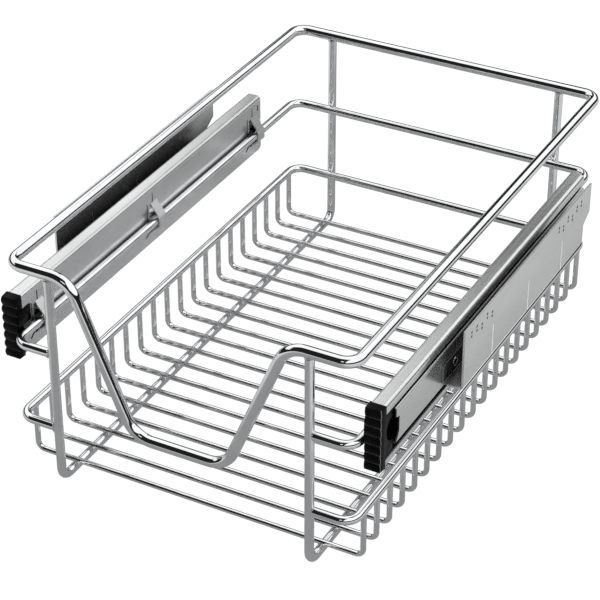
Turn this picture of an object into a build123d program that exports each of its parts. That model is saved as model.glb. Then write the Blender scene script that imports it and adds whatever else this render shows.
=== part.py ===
"""Pull-out cabinet basket: a chromed wire basket that hangs between two ball-bearing slides.

The basket is welded from bent wire. A folded bracket on each side is riveted to the slide's inner member
and carries the whole unit in a cabinet. Millimetres, X across, Y from front to back, Z up, with the origin
on the underside, in the middle of the basket.
"""
import os

from build123d import *

os.makedirs("parts", exist_ok=True)

# Wire stock, diameters
RIM_WIRE = 8.8
FRAME_WIRE = 7.0
CROSS_WIRE = 4.3

# How deep one wire melts into the other where they are welded
CROSSING_SET = 0.25
BUTT_SET = 0.25

# Basket: sizes between the centre lines of the wires
RIM_DEPTH = 440.0
BASKET_WIDTH = 276.2
FRAME_SPACING = 209.4
CORNER_BEND = 11.5
FRAME_BEND = 10.0
LOWER_RAIL_HEIGHT = 50.6
MID_RAIL_HEIGHT = 115.9
RIM_HEIGHT = 183.8

# The dip in the front of the rim, where a hand reaches in
DIP_TOP = 174.4
DIP_BOTTOM = 76.0
DIP_DEPTH = 118.6
DIP_BEND = 22.0

# Cross wires of the floor, which turn up at both sides
CROSS_COUNT = 20
CROSS_INSET = 18.8
CROSS_BEND_CUT = 3.6

# Ball-bearing slide: three nested members of folded sheet
SLIDE_LENGTH = 360.0
SLIDE_FRONT_GAP = 17.0
SLIDE_HEIGHT = 52.0
SLIDE_THICKNESS = 12.8
SLIDE_CENTRE = 119.5
MEMBER_SHEET = 1.2
OUTER_FOLD = 3.2
OUTER_LIP = 6.8
MEMBER_SET_BACK = 15.0
WIRE_SEAT = 0.05
MEMBER_GAP = 0.8
INNER_PROUD = 0.5
MIDDLE_DEPTH = 8.6
MIDDLE_FOLD = 2.0
INNER_DEPTH = 8.8
INNER_FOLD = 1.9

# Balls and the cages that space them
BALL = 4.0
BALL_PLAY = 0.1
BALL_PITCH = 60.0
BALLS_IN_ROW = 3
BALL_CENTRE = 7.0
CAGE_LENGTH = 150.0
CAGE_SHEET = 0.4
CAGE_EDGE = 1.4
CAGE_HOLE_PLAY = 0.1

# Hooks cut from the outer member's web, which hold the mid rail
HOOK_FRONT = 38.0
HOOK_PITCH = 163.0
HOOK_COUNT = 3
HOOK_WIDTH = 9.5
HOOK_RISE = 15.5
HOOK_DROP = 11.0
HOOK_FLAT = 4.2
HOOK_CLEARANCE = 0.15
WINDOW_MARGIN = 0.5
WINDOW_AHEAD = 2.2
HOOK_SLIT_LENGTH = 9.0
HOOK_SLIT_WIDTH = 1.2
HOOK_SLIT_AHEAD = 1.8
RELIEF_LENGTH = 10.5
RELIEF_WIDTH = 1.8
RELIEF_SLANT = 35.0
RELIEF_AHEAD = 9.0
DIMPLE_LENGTH = 18.0
DIMPLE_WIDTH = 1.8
DIMPLE_AHEAD = 10.0

# Hole, slot and cut corner at the rear end of the outer member
TAIL_HOLE = 2.2
TAIL_HOLE_INSET = 3.8
TAIL_SLOT_LENGTH = 5.5
TAIL_SLOT_WIDTH = 1.6
TAIL_SLOT_INSET = 4.8
TAIL_SLOT_DROP = 9.5
TAIL_CORNER = 4.0

# Notch in the front end of the inner member, over its bent stop tongue
NOTCH_DEPTH = 5.0
NOTCH_TOP_DROP = 7.5
NOTCH_TOP_SLANT = 1.5
NOTCH_LENGTH = 13.0
NOTCH_LOW_SLANT = 8.0

# Plastic end cap and the stop inside the outer member's front end
CAP_DEPTH = 7.0
CAP_RIBS = 7
CAP_SCALLOP = 1.0
CAP_OVERHANG = 0.2
CLIP_LENGTH = 9.0
CLIP_HEIGHT = 13.5
CLIP_THICKNESS = 0.8
CLIP_OVER_WIRE = 1.0
STOP_LENGTH = 14.0
STOP_CLEARANCE = 0.15
STOP_WAIST = 20.0

# Side bracket: folded sheet, open at the top
BRACKET_SHEET = 1.5
BRACKET_LENGTH = 240.0
BRACKET_FRONT_GAP = 106.0
BRACKET_HEIGHT = 49.0
BRACKET_BOTTOM = 109.5
BRACKET_WIDTH = 16.9
BRACKET_LEG = 15.0
BRACKET_FOLD = 2.0
STEP_LENGTH = 12.0
STEP_HEIGHT = 17.0
STEP_SLANT = 7.0
SLOT_WIDTH = 1.6
SLOT_LENGTH = 27.0
SLOT_PITCH = 66.0
SLOT_COUNT = 3
SLOT_CENTRE_AHEAD = 2.7
SLOT_BOTTOM = 108.0
SCREW_HOLE = 2.4
HOLE_PITCH = 9.1
HOLE_ROW_GAP = 3.4
HOLE_TOP_INSET = 6.4
FRONT_HOLES_INSET = 11.3
REAR_HOLES_INSET = 20.4
FRONT_HOLE_DROPS = (0, 0, 1, 0, 1)
REAR_HOLE_DROPS = (0, 1, 0, 1, 0, 0)

# Rivets between bracket and inner member
RIVET_SHANK = 4.0
RIVET_HEAD = 7.0
RIVET_HEAD_HEIGHT = 1.4
RIVET_HEAD_TAPER = 30.0
RIVET_TAIL = 6.0
RIVET_TAIL_HEIGHT = 0.9
RIVET_COUNT = 3
RIVET_PITCH = 100.0
RIVET_PLAY = 0.05

# Places worked out from the sizes above
FRONT = -RIM_DEPTH / 2
REAR = RIM_DEPTH / 2
FLOOR_HEIGHT = FRAME_WIRE / 2
FRAME_SIDE = FRAME_SPACING / 2
BASKET_SIDE = BASKET_WIDTH / 2
CROSS_PITCH = (RIM_DEPTH - 2 * CROSS_INSET) / (CROSS_COUNT - 1)
RAIL_REAR = REAR - FRAME_WIRE
SLIDE_INSIDE = BASKET_SIDE + FRAME_WIRE / 2 + WIRE_SEAT
SLIDE_OUTSIDE = SLIDE_INSIDE + SLIDE_THICKNESS
SLIDE_FRONT = FRONT + SLIDE_FRONT_GAP
SLIDE_REAR = SLIDE_FRONT + SLIDE_LENGTH
MEMBER_FRONT = SLIDE_FRONT + MEMBER_SET_BACK
MIDDLE_INSIDE = SLIDE_INSIDE + MEMBER_SHEET + MEMBER_GAP
INNER_OUTSIDE = SLIDE_OUTSIDE + INNER_PROUD
BALL_SIDE = SLIDE_INSIDE + BALL_CENTRE
ROW_STEP = BALL + 2 * BALL_PLAY
OUTER_ROW = SLIDE_HEIGHT / 2 - MEMBER_SHEET - ROW_STEP / 2
MIDDLE_HALF = OUTER_ROW - ROW_STEP / 2
INNER_ROW = MIDDLE_HALF - MEMBER_SHEET - ROW_STEP / 2
INNER_HALF = INNER_ROW - ROW_STEP / 2
CAGE_MIDDLE = (SLIDE_FRONT + SLIDE_REAR) / 2
BRACKET_FRONT = FRONT + BRACKET_FRONT_GAP
BRACKET_REAR = BRACKET_FRONT + BRACKET_LENGTH
BRACKET_MIDDLE = (BRACKET_FRONT + BRACKET_REAR) / 2
BRACKET_OUTSIDE = INNER_OUTSIDE + BRACKET_WIDTH
BRACKET_TOP = BRACKET_BOTTOM + BRACKET_HEIGHT


def bent_wire(points, bends, diameter, closed=False):
    """Round wire along straight runs that are joined by bends."""
    with BuildPart() as wire:
        with BuildLine() as route:
            FilletPolyline(*points, radius=bends, close=closed)
        with BuildSketch(Plane(origin=route.line @ 0, z_dir=route.line % 0)):
            Circle(diameter / 2)
        sweep()
    return wire


def thin_wire(points, diameter):
    """Round wire whose small bends are drawn as mitred steps between the points."""
    with BuildPart() as wire:
        with BuildLine() as route:
            Polyline(*points)
        with BuildSketch(Plane(origin=route.line @ 0, z_dir=route.line % 0)):
            Circle(diameter / 2)
        sweep(transition=Transition.RIGHT)
    return wire


def folded_sheet(points, fold, sheet, start, end):
    """Sheet folded along points in the X-Z plane and drawn out from start to end along Y.

    The points run along one face of the sheet, and its thickness lies to their right.
    """
    with BuildPart() as folded:
        with BuildSketch(Plane.XZ.offset(-end)):
            with BuildLine():
                FilletPolyline(*points, radius=fold)
                offset(amount=sheet, side=Side.RIGHT)
            make_face()
        extrude(amount=end - start)
    return folded


def write(piece, name):
    """Label a finished piece and write it."""
    piece.label = name
    export_step(piece, f"parts/{name}.step")


def write_pair(piece, name):
    """Write a right-hand piece and its mirror image on the left."""
    write(piece, f"{name}_right")
    write(mirror(piece, about=Plane.YZ), f"{name}_left")


# The top rim: one closed loop with the dip in its front run
rim_corners = [
    (-BASKET_SIDE, FRONT, RIM_HEIGHT),
    (-DIP_TOP / 2, FRONT, RIM_HEIGHT),
    (-DIP_BOTTOM / 2, FRONT, RIM_HEIGHT - DIP_DEPTH),
    (DIP_BOTTOM / 2, FRONT, RIM_HEIGHT - DIP_DEPTH),
    (DIP_TOP / 2, FRONT, RIM_HEIGHT),
    (BASKET_SIDE, FRONT, RIM_HEIGHT),
    (BASKET_SIDE, REAR, RIM_HEIGHT),
    (-BASKET_SIDE, REAR, RIM_HEIGHT),
]
rim_bends = [CORNER_BEND] + 4 * [DIP_BEND] + 3 * [CORNER_BEND]
top_rim = bent_wire(rim_corners, rim_bends, RIM_WIRE, closed=True)
write(top_rim.part, "top_rim")

# Mid and lower rails: open at the front between the two uprights, and welded to their outer sides
rail_end = FRAME_SIDE + FRAME_WIRE / 2 - BUTT_SET
for name, height in (("mid_rail", MID_RAIL_HEIGHT), ("lower_rail", LOWER_RAIL_HEIGHT)):
    rail = bent_wire(
        [
            (-rail_end, FRONT, height),
            (-BASKET_SIDE, FRONT, height),
            (-BASKET_SIDE, RAIL_REAR, height),
            (BASKET_SIDE, RAIL_REAR, height),
            (BASKET_SIDE, FRONT, height),
            (rail_end, FRONT, height),
        ],
        CORNER_BEND,
        FRAME_WIRE,
    )
    write(rail.part, name)

# Frame wires: each is a front upright, a floor run and a rear upright under the rim
upright_top = RIM_HEIGHT - RIM_WIRE / 2 + BUTT_SET
for name, side in (("frame_wire_left", -FRAME_SIDE), ("frame_wire_right", FRAME_SIDE)):
    frame_wire = bent_wire(
        [
            (side, FRONT, upright_top),
            (side, FRONT, FLOOR_HEIGHT),
            (side, REAR, FLOOR_HEIGHT),
            (side, REAR, upright_top),
        ],
        FRAME_BEND,
        FRAME_WIRE,
    )
    write(frame_wire.part, name)

# Cross wires: they lie on the floor runs and stand up to the underside of the lower rail
cross_height = FLOOR_HEIGHT + (FRAME_WIRE + CROSS_WIRE) / 2 - CROSSING_SET
cross_top = LOWER_RAIL_HEIGHT - FRAME_WIRE / 2 + BUTT_SET
for index in range(CROSS_COUNT):
    place = FRONT + CROSS_INSET + index * CROSS_PITCH
    cross_wire = thin_wire(
        [
            (-BASKET_SIDE, place, cross_top),
            (-BASKET_SIDE, place, cross_height + CROSS_BEND_CUT),
            (-BASKET_SIDE + CROSS_BEND_CUT, place, cross_height),
            (BASKET_SIDE - CROSS_BEND_CUT, place, cross_height),
            (BASKET_SIDE, place, cross_height + CROSS_BEND_CUT),
            (BASKET_SIDE, place, cross_top),
        ],
        CROSS_WIRE,
    )
    write(cross_wire.part, f"cross_wire_{index + 1:02}")

# Outer member of the slide: a channel that faces outwards, with its lips turned in over the balls
slide_top = SLIDE_CENTRE + SLIDE_HEIGHT / 2
slide_bottom = SLIDE_CENTRE - SLIDE_HEIGHT / 2
outer_section = folded_sheet(
    [
        (SLIDE_OUTSIDE, slide_bottom + OUTER_LIP),
        (SLIDE_OUTSIDE, slide_bottom),
        (SLIDE_INSIDE, slide_bottom),
        (SLIDE_INSIDE, slide_top),
        (SLIDE_OUTSIDE, slide_top),
        (SLIDE_OUTSIDE, slide_top - OUTER_LIP),
    ],
    OUTER_FOLD,
    MEMBER_SHEET,
    SLIDE_FRONT,
    SLIDE_REAR,
)
hook_places = [FRONT + HOOK_FRONT + step * HOOK_PITCH for step in range(HOOK_COUNT)]
hook_reach = SLIDE_INSIDE - WIRE_SEAT - FRAME_WIRE - HOOK_CLEARANCE - MEMBER_SHEET
hook_root = SLIDE_INSIDE
window_top = MID_RAIL_HEIGHT + HOOK_RISE - MEMBER_SHEET
window_bottom = MID_RAIL_HEIGHT - HOOK_DROP
with BuildPart() as outer_member:
    add(outer_section.part)
    # windows that the hooks are bent out of
    with BuildSketch(Plane.YZ.offset(SLIDE_INSIDE - MEMBER_SHEET)):
        for place in hook_places:
            with Locations((place + HOOK_WIDTH / 2 + WINDOW_MARGIN, window_bottom)):
                Rectangle(
                    HOOK_WIDTH + WINDOW_MARGIN + WINDOW_AHEAD,
                    window_top - window_bottom,
                    align=(Align.MAX, Align.MIN),
                )
            # slit above the hook's root, and relief cut at the window's lower front corner
            with Locations((place - HOOK_SLIT_AHEAD, window_top + HOOK_SLIT_LENGTH / 2)):
                SlotOverall(HOOK_SLIT_LENGTH + HOOK_SLIT_WIDTH, HOOK_SLIT_WIDTH, rotation=90)
            with Locations((place - RELIEF_AHEAD, window_bottom + MEMBER_SHEET)):
                SlotOverall(RELIEF_LENGTH, RELIEF_WIDTH, rotation=RELIEF_SLANT)
    extrude(amount=3 * MEMBER_SHEET, mode=Mode.SUBTRACT)
    # hooks: from the top of the window down over the wire
    for place in hook_places:
        with BuildSketch(Plane.XZ.offset(-place - HOOK_WIDTH / 2)):
            with BuildLine():
                FilletPolyline(
                    (hook_root, window_top + MEMBER_SHEET),
                    (hook_reach, MID_RAIL_HEIGHT + HOOK_FLAT),
                    (hook_reach, MID_RAIL_HEIGHT - HOOK_FLAT),
                    (hook_root - MEMBER_SHEET, window_bottom + MEMBER_SHEET),
                    radius=MEMBER_SHEET,
                )
                offset(amount=MEMBER_SHEET, side=Side.LEFT)
            make_face()
        extrude(amount=HOOK_WIDTH)
    # pressed mark beside each hook, and the holes at the rear end
    with BuildSketch(Plane.YZ.offset(SLIDE_INSIDE)):
        for place in hook_places:
            with Locations((place - DIMPLE_AHEAD, MID_RAIL_HEIGHT + HOOK_RISE / 2)):
                SlotOverall(DIMPLE_LENGTH, DIMPLE_WIDTH, rotation=90)
    extrude(amount=MEMBER_SHEET / 2, mode=Mode.SUBTRACT)
    with BuildSketch(Plane.YZ.offset(SLIDE_INSIDE - MEMBER_SHEET)):
        with Locations((SLIDE_REAR - TAIL_HOLE_INSET, SLIDE_CENTRE)):
            Circle(TAIL_HOLE / 2)
        with Locations((SLIDE_REAR - TAIL_SLOT_INSET, slide_top - TAIL_SLOT_DROP)):
            SlotOverall(TAIL_SLOT_LENGTH, TAIL_SLOT_WIDTH, rotation=90)
    extrude(amount=3 * MEMBER_SHEET, mode=Mode.SUBTRACT)
    # rear lower corner, cut off through the whole channel
    with BuildSketch(Plane.YZ.offset(SLIDE_INSIDE - MEMBER_SHEET)):
        with BuildLine():
            Polyline(
                (SLIDE_REAR - TAIL_CORNER, slide_bottom - MEMBER_SHEET),
                (SLIDE_REAR - TAIL_CORNER, slide_bottom),
                (SLIDE_REAR, slide_bottom + TAIL_CORNER),
                (SLIDE_REAR + MEMBER_SHEET, slide_bottom + TAIL_CORNER),
                (SLIDE_REAR + MEMBER_SHEET, slide_bottom - MEMBER_SHEET),
                close=True,
            )
        make_face()
    extrude(amount=SLIDE_THICKNESS + 2 * MEMBER_SHEET, mode=Mode.SUBTRACT)
write_pair(outer_member.part, "slide_outer_member")

# Intermediate member: a channel between the two rows of balls
middle_member = folded_sheet(
    [
        (MIDDLE_INSIDE + MIDDLE_DEPTH, SLIDE_CENTRE - MIDDLE_HALF),
        (MIDDLE_INSIDE, SLIDE_CENTRE - MIDDLE_HALF),
        (MIDDLE_INSIDE, SLIDE_CENTRE + MIDDLE_HALF),
        (MIDDLE_INSIDE + MIDDLE_DEPTH, SLIDE_CENTRE + MIDDLE_HALF),
    ],
    MIDDLE_FOLD,
    MEMBER_SHEET,
    MEMBER_FRONT,
    SLIDE_REAR,
)
write_pair(middle_member.part, "slide_middle_member")

# Inner member: a channel that faces the other way, with rivet holes in its web
inner_section = folded_sheet(
    [
        (INNER_OUTSIDE - INNER_DEPTH, SLIDE_CENTRE + INNER_HALF),
        (INNER_OUTSIDE, SLIDE_CENTRE + INNER_HALF),
        (INNER_OUTSIDE, SLIDE_CENTRE - INNER_HALF),
        (INNER_OUTSIDE - INNER_DEPTH, SLIDE_CENTRE - INNER_HALF),
    ],
    INNER_FOLD,
    MEMBER_SHEET,
    MEMBER_FRONT,
    SLIDE_REAR,
)
rivet_height = BRACKET_BOTTOM + (BRACKET_LEG + BRACKET_SHEET) / 2
rivet_places = [BRACKET_MIDDLE + (step - (RIVET_COUNT - 1) / 2) * RIVET_PITCH for step in range(RIVET_COUNT)]
with BuildPart() as inner_member:
    add(inner_section.part)
    with BuildSketch(Plane.YZ.offset(INNER_OUTSIDE + MEMBER_SHEET)):
        with Locations(*[(place, rivet_height) for place in rivet_places]):
            Circle(RIVET_SHANK / 2 + RIVET_PLAY)
    extrude(amount=-3 * MEMBER_SHEET, mode=Mode.SUBTRACT)
    # notch in the front edge of the web
    notch_top = SLIDE_CENTRE + INNER_HALF - NOTCH_TOP_DROP
    notch_low = notch_top - NOTCH_TOP_SLANT - NOTCH_LENGTH
    with BuildSketch(Plane.YZ.offset(INNER_OUTSIDE + MEMBER_SHEET)):
        with BuildLine():
            Polyline(
                (MEMBER_FRONT - MEMBER_SHEET, notch_top),
                (MEMBER_FRONT, notch_top),
                (MEMBER_FRONT + NOTCH_DEPTH, notch_top - NOTCH_TOP_SLANT),
                (MEMBER_FRONT + NOTCH_DEPTH, notch_low),
                (MEMBER_FRONT, notch_low - NOTCH_LOW_SLANT),
                (MEMBER_FRONT - MEMBER_SHEET, notch_low - NOTCH_LOW_SLANT),
                close=True,
            )
        make_face()
    extrude(amount=-3 * MEMBER_SHEET, mode=Mode.SUBTRACT)
write_pair(inner_member.part, "slide_inner_member")


def ball_cage(web_side, row, name):
    """A thin channel with holes that space two rows of balls, and the balls themselves."""
    half = row + CAGE_SHEET / 2
    edge = BALL_SIDE + BALL / 2 + CAGE_EDGE
    first, last = CAGE_MIDDLE - CAGE_LENGTH / 2, CAGE_MIDDLE + CAGE_LENGTH / 2
    channel = folded_sheet(
        [
            (edge, SLIDE_CENTRE - half),
            (web_side, SLIDE_CENTRE - half),
            (web_side, SLIDE_CENTRE + half),
            (edge, SLIDE_CENTRE + half),
        ],
        2 * CAGE_SHEET,
        CAGE_SHEET,
        first,
        last,
    )
    with BuildPart() as cage:
        add(channel.part)
        with BuildSketch(Plane.XY.offset(SLIDE_CENTRE - 2 * row)):
            with Locations((BALL_SIDE, CAGE_MIDDLE)):
                with GridLocations(BALL_PITCH, BALL_PITCH, 1, BALLS_IN_ROW):
                    Circle(BALL / 2 + CAGE_HOLE_PLAY)
        extrude(amount=4 * row, mode=Mode.SUBTRACT)
    with BuildPart() as balls:
        for height in (SLIDE_CENTRE - row, SLIDE_CENTRE + row):
            with Locations((BALL_SIDE, CAGE_MIDDLE, height)):
                with GridLocations(BALL_PITCH, BALL_PITCH, 1, BALLS_IN_ROW):
                    Sphere(BALL / 2)
    write_pair(cage.part, f"{name}_ball_cage")
    write_pair(balls.part, f"{name}_balls")


outer_cage_side = SLIDE_INSIDE + MEMBER_SHEET + (MEMBER_GAP - CAGE_SHEET) / 2
inner_cage_side = MIDDLE_INSIDE + MEMBER_SHEET + (MEMBER_GAP - CAGE_SHEET) / 2
ball_cage(outer_cage_side, OUTER_ROW, "outer")
ball_cage(inner_cage_side, INNER_ROW, "inner")

# End cap: a scalloped plastic block over the front of the outer member, with a clip on its web
cap_height = SLIDE_HEIGHT + 2 * CAP_OVERHANG
cap_step = cap_height / CAP_RIBS
cap_bottom = SLIDE_CENTRE - cap_height / 2
clip_bottom = MID_RAIL_HEIGHT + FRAME_WIRE / 2 + CLIP_OVER_WIRE
with BuildPart() as end_cap:
    with BuildSketch(Plane.YZ.offset(SLIDE_INSIDE)):
        with BuildLine():
            Polyline(
                (SLIDE_FRONT - CAP_DEPTH, cap_bottom + cap_height),
                (SLIDE_FRONT, cap_bottom + cap_height),
                (SLIDE_FRONT, cap_bottom),
                (SLIDE_FRONT - CAP_DEPTH, cap_bottom),
            )
            for rib in range(CAP_RIBS):
                SagittaArc(
                    (SLIDE_FRONT - CAP_DEPTH, cap_bottom + rib * cap_step),
                    (SLIDE_FRONT - CAP_DEPTH, cap_bottom + (rib + 1) * cap_step),
                    CAP_SCALLOP,
                )
        make_face()
    extrude(amount=SLIDE_THICKNESS + CAP_OVERHANG)
    with BuildSketch(Plane.YZ.offset(SLIDE_INSIDE)):
        with Locations((SLIDE_FRONT, clip_bottom)):
            Rectangle(CLIP_LENGTH, CLIP_HEIGHT, align=(Align.MIN, Align.MIN))
    extrude(amount=-CLIP_THICKNESS)
    with BuildSketch(Plane.YZ.offset(SLIDE_INSIDE)):
        with Locations((SLIDE_FRONT, clip_bottom)):
            Rectangle(CAP_DEPTH, CLIP_HEIGHT, align=(Align.MAX, Align.MIN))
    extrude(amount=-CLIP_THICKNESS)
write_pair(end_cap.part, "end_cap")

# Stop: a plastic block in the outer member's front end, waisted where its spring arms flex
stop_inside = SLIDE_INSIDE + MEMBER_SHEET + STOP_CLEARANCE
stop_width = SLIDE_THICKNESS - 2 * MEMBER_SHEET - 2 * STOP_CLEARANCE
stop_height = SLIDE_HEIGHT - 2 * OUTER_FOLD
with BuildPart() as slide_stop:
    with BuildSketch(Plane.YZ.offset(stop_inside)):
        with Locations((SLIDE_FRONT, SLIDE_CENTRE)):
            Rectangle(STOP_LENGTH, stop_height, align=(Align.MIN, Align.CENTER))
        with Locations((SLIDE_FRONT + STOP_LENGTH, SLIDE_CENTRE)):
            Circle(STOP_WAIST / 2, mode=Mode.SUBTRACT)
    extrude(amount=stop_width)
write_pair(slide_stop.part, "slide_stop")

# Side bracket: a channel that is open at the top, with its rear lower corner stepped back
bracket_section = folded_sheet(
    [
        (BRACKET_OUTSIDE, BRACKET_TOP),
        (BRACKET_OUTSIDE, BRACKET_BOTTOM),
        (INNER_OUTSIDE, BRACKET_BOTTOM),
        (INNER_OUTSIDE, BRACKET_BOTTOM + BRACKET_LEG),
    ],
    BRACKET_FOLD,
    BRACKET_SHEET,
    BRACKET_FRONT,
    BRACKET_REAR,
)


def hole_pairs(first, drops):
    """Places of paired screw holes: each pair is one hole above another, and some pairs sit a row lower."""
    places = []
    for index, drop in enumerate(drops):
        top = BRACKET_TOP - HOLE_TOP_INSET - drop * HOLE_ROW_GAP
        along = first + index * HOLE_PITCH
        places += [(along, top), (along, top - HOLE_ROW_GAP)]
    return places


front_holes = hole_pairs(BRACKET_FRONT + FRONT_HOLES_INSET, FRONT_HOLE_DROPS)
rear_first = BRACKET_REAR - REAR_HOLES_INSET - (len(REAR_HOLE_DROPS) - 1) * HOLE_PITCH
rear_holes = hole_pairs(rear_first, REAR_HOLE_DROPS)
with BuildPart() as bracket:
    add(bracket_section.part)
    with BuildSketch(Plane.YZ.offset(INNER_OUTSIDE - BRACKET_SHEET)):
        with BuildLine():
            Polyline(
                (BRACKET_REAR + STEP_LENGTH, BRACKET_BOTTOM - BRACKET_SHEET),
                (BRACKET_REAR - STEP_LENGTH, BRACKET_BOTTOM - BRACKET_SHEET),
                (BRACKET_REAR - STEP_LENGTH, BRACKET_BOTTOM + STEP_HEIGHT),
                (BRACKET_REAR, BRACKET_BOTTOM + STEP_HEIGHT + STEP_SLANT),
                (BRACKET_REAR + STEP_LENGTH, BRACKET_BOTTOM + STEP_HEIGHT + STEP_SLANT),
                close=True,
            )
        make_face()
    extrude(amount=BRACKET_WIDTH + 2 * BRACKET_SHEET, mode=Mode.SUBTRACT)
    with BuildSketch(Plane.YZ.offset(BRACKET_OUTSIDE - 2 * BRACKET_SHEET)):
        with Locations(*front_holes, *rear_holes):
            Circle(SCREW_HOLE / 2)
        for step in range(SLOT_COUNT):
            along = BRACKET_MIDDLE - SLOT_CENTRE_AHEAD + (step - (SLOT_COUNT - 1) / 2) * SLOT_PITCH
            with Locations((along, SLOT_BOTTOM + SLOT_LENGTH / 2 + BRACKET_FOLD)):
                SlotOverall(SLOT_LENGTH, SLOT_WIDTH, rotation=90)
    extrude(amount=3 * BRACKET_SHEET, mode=Mode.SUBTRACT)
    with BuildSketch(Plane.YZ.offset(INNER_OUTSIDE - BRACKET_SHEET)):
        with Locations(*[(place, rivet_height) for place in rivet_places]):
            Circle(RIVET_SHANK / 2 + RIVET_PLAY)
    extrude(amount=3 * BRACKET_SHEET, mode=Mode.SUBTRACT)
write_pair(bracket.part, "side_bracket")

# Rivets: head on the bracket's leg, shank through both sheets and a formed tail inside the inner member
with BuildPart() as rivets:
    for place in rivet_places:
        with BuildSketch(Plane.YZ.offset(INNER_OUTSIDE - MEMBER_SHEET - RIVET_TAIL_HEIGHT)):
            with Locations((place, rivet_height)):
                Circle(RIVET_TAIL / 2)
        extrude(amount=RIVET_TAIL_HEIGHT)
        with BuildSketch(Plane.YZ.offset(INNER_OUTSIDE - MEMBER_SHEET)):
            with Locations((place, rivet_height)):
                Circle(RIVET_SHANK / 2)
        extrude(amount=MEMBER_SHEET + BRACKET_SHEET)
        with BuildSketch(Plane.YZ.offset(INNER_OUTSIDE + BRACKET_SHEET)):
            with Locations((place, rivet_height)):
                Circle(RIVET_HEAD / 2)
        extrude(amount=RIVET_HEAD_HEIGHT, taper=RIVET_HEAD_TAPER)
write_pair(rivets.part, "bracket_rivets")
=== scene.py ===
"""Looks of the pull-out cabinet basket: bright chrome wire, satin zinc slides and black plastic end pieces.

All lengths of the pieces are given in millimetres and turned to metres where a mesh is made. X runs across,
Y from front to back and Z up, with the origin on the underside, in the middle of the basket.
"""
import logging
import math
from dataclasses import dataclass, field
from enum import Enum

import bmesh
import bpy
from bpy.types import Material, Mesh, Node, NodeSocket, NodeTree, Object
from mathutils import Matrix, Vector


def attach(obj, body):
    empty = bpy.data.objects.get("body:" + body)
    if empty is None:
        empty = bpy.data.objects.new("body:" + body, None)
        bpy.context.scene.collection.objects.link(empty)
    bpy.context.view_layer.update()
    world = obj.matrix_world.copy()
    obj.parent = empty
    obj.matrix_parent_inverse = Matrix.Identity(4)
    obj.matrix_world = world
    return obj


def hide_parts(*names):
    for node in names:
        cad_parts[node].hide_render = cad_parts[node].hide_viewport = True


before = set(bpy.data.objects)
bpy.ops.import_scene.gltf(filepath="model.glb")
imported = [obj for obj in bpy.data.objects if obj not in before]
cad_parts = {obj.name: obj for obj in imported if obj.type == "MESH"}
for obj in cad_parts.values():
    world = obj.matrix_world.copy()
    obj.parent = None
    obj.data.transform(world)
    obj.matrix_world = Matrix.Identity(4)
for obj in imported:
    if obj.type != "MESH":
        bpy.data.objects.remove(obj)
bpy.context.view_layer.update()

log = logging.getLogger("basket")

MM = 0.001
BASKET_BODY = "basket"
CABINET_BODY = "cabinet_side"
SHARP_ANGLE = math.radians(40)
LEVEL = 0.0001
EASED_STEPS = 2
ROUND_PROFILE = 0.5
WHITE = (1, 1, 1, 1)
Triple = tuple[float, float, float]


class Side(Enum):
    """The two sides of the unit, each with the sign of its X."""

    LEFT = -1
    RIGHT = 1

    @property
    def word(self) -> str:
        """The side's name as the pieces carry it."""
        return self.name.lower()


class Slot(Enum):
    """Material slots of the record."""

    CHROME = "chrome_wire"
    ZINC = "zinc_steel"
    BRIGHT = "bright_steel"
    PLASTIC = "black_plastic"


# ---------------------------------------------------------------------------
# Node sheets


class NodeSheet:
    """A node tree under construction, for a shape or for a finish."""

    def __init__(self, tree: NodeTree) -> None:
        """Keep the tree.

        Args:
            tree: The empty tree that the nodes go into.
        """
        self.tree = tree
        self.keys: dict[str, str] = {}

    def add(self, kind: str, links: dict | None = None, **settings: object) -> Node:
        """Add a node.

        Args:
            kind: Blender's name of the node type.
            links: Values or source sockets by input name or index.
            **settings: Properties of the node itself.

        Returns:
            The new node.
        """
        node = self.tree.nodes.new(kind)
        for name, value in settings.items():
            setattr(node, name, value)
        for key, value in (links or {}).items():
            if isinstance(value, NodeSocket):
                self.tree.links.new(value, node.inputs[key])
            else:
                node.inputs[key].default_value = value
        return node

    def math(self, operation: str, *values: object) -> NodeSocket:
        """The result of a math node on values or sockets."""
        return self.add("ShaderNodeMath", dict(enumerate(values)), operation=operation).outputs[0]

    def ranged(self, value: NodeSocket, source: tuple, target: tuple = (0.0, 1.0), **settings: object) -> NodeSocket:
        """A value mapped from one range to another, and held at its ends.

        Args:
            value: The value.
            source: The two ends that it comes from.
            target: The two ends that it goes to.
            **settings: Properties of the node itself.

        Returns:
            The mapped value.
        """
        ends = dict(enumerate((*source, *target), start=1))
        return self.add("ShaderNodeMapRange", {0: value, **ends}, **settings).outputs[0]

    def mix(self, share: object, one: Node, other: Node) -> Node:
        """A shader between two others."""
        return self.add("ShaderNodeMixShader", {0: share, 1: one.outputs[0], 2: other.outputs[0]})

    def input(self, label: str, kind: str, default: object = None) -> None:
        """Give the tree a named input.

        Args:
            label: The input's name.
            kind: Its socket type.
            default: Its value where none is set.
        """
        socket = self.tree.interface.new_socket(name=label, in_out="INPUT", socket_type=kind)
        if default is not None:
            socket.default_value = default
        self.keys[label] = socket.identifier


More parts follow.
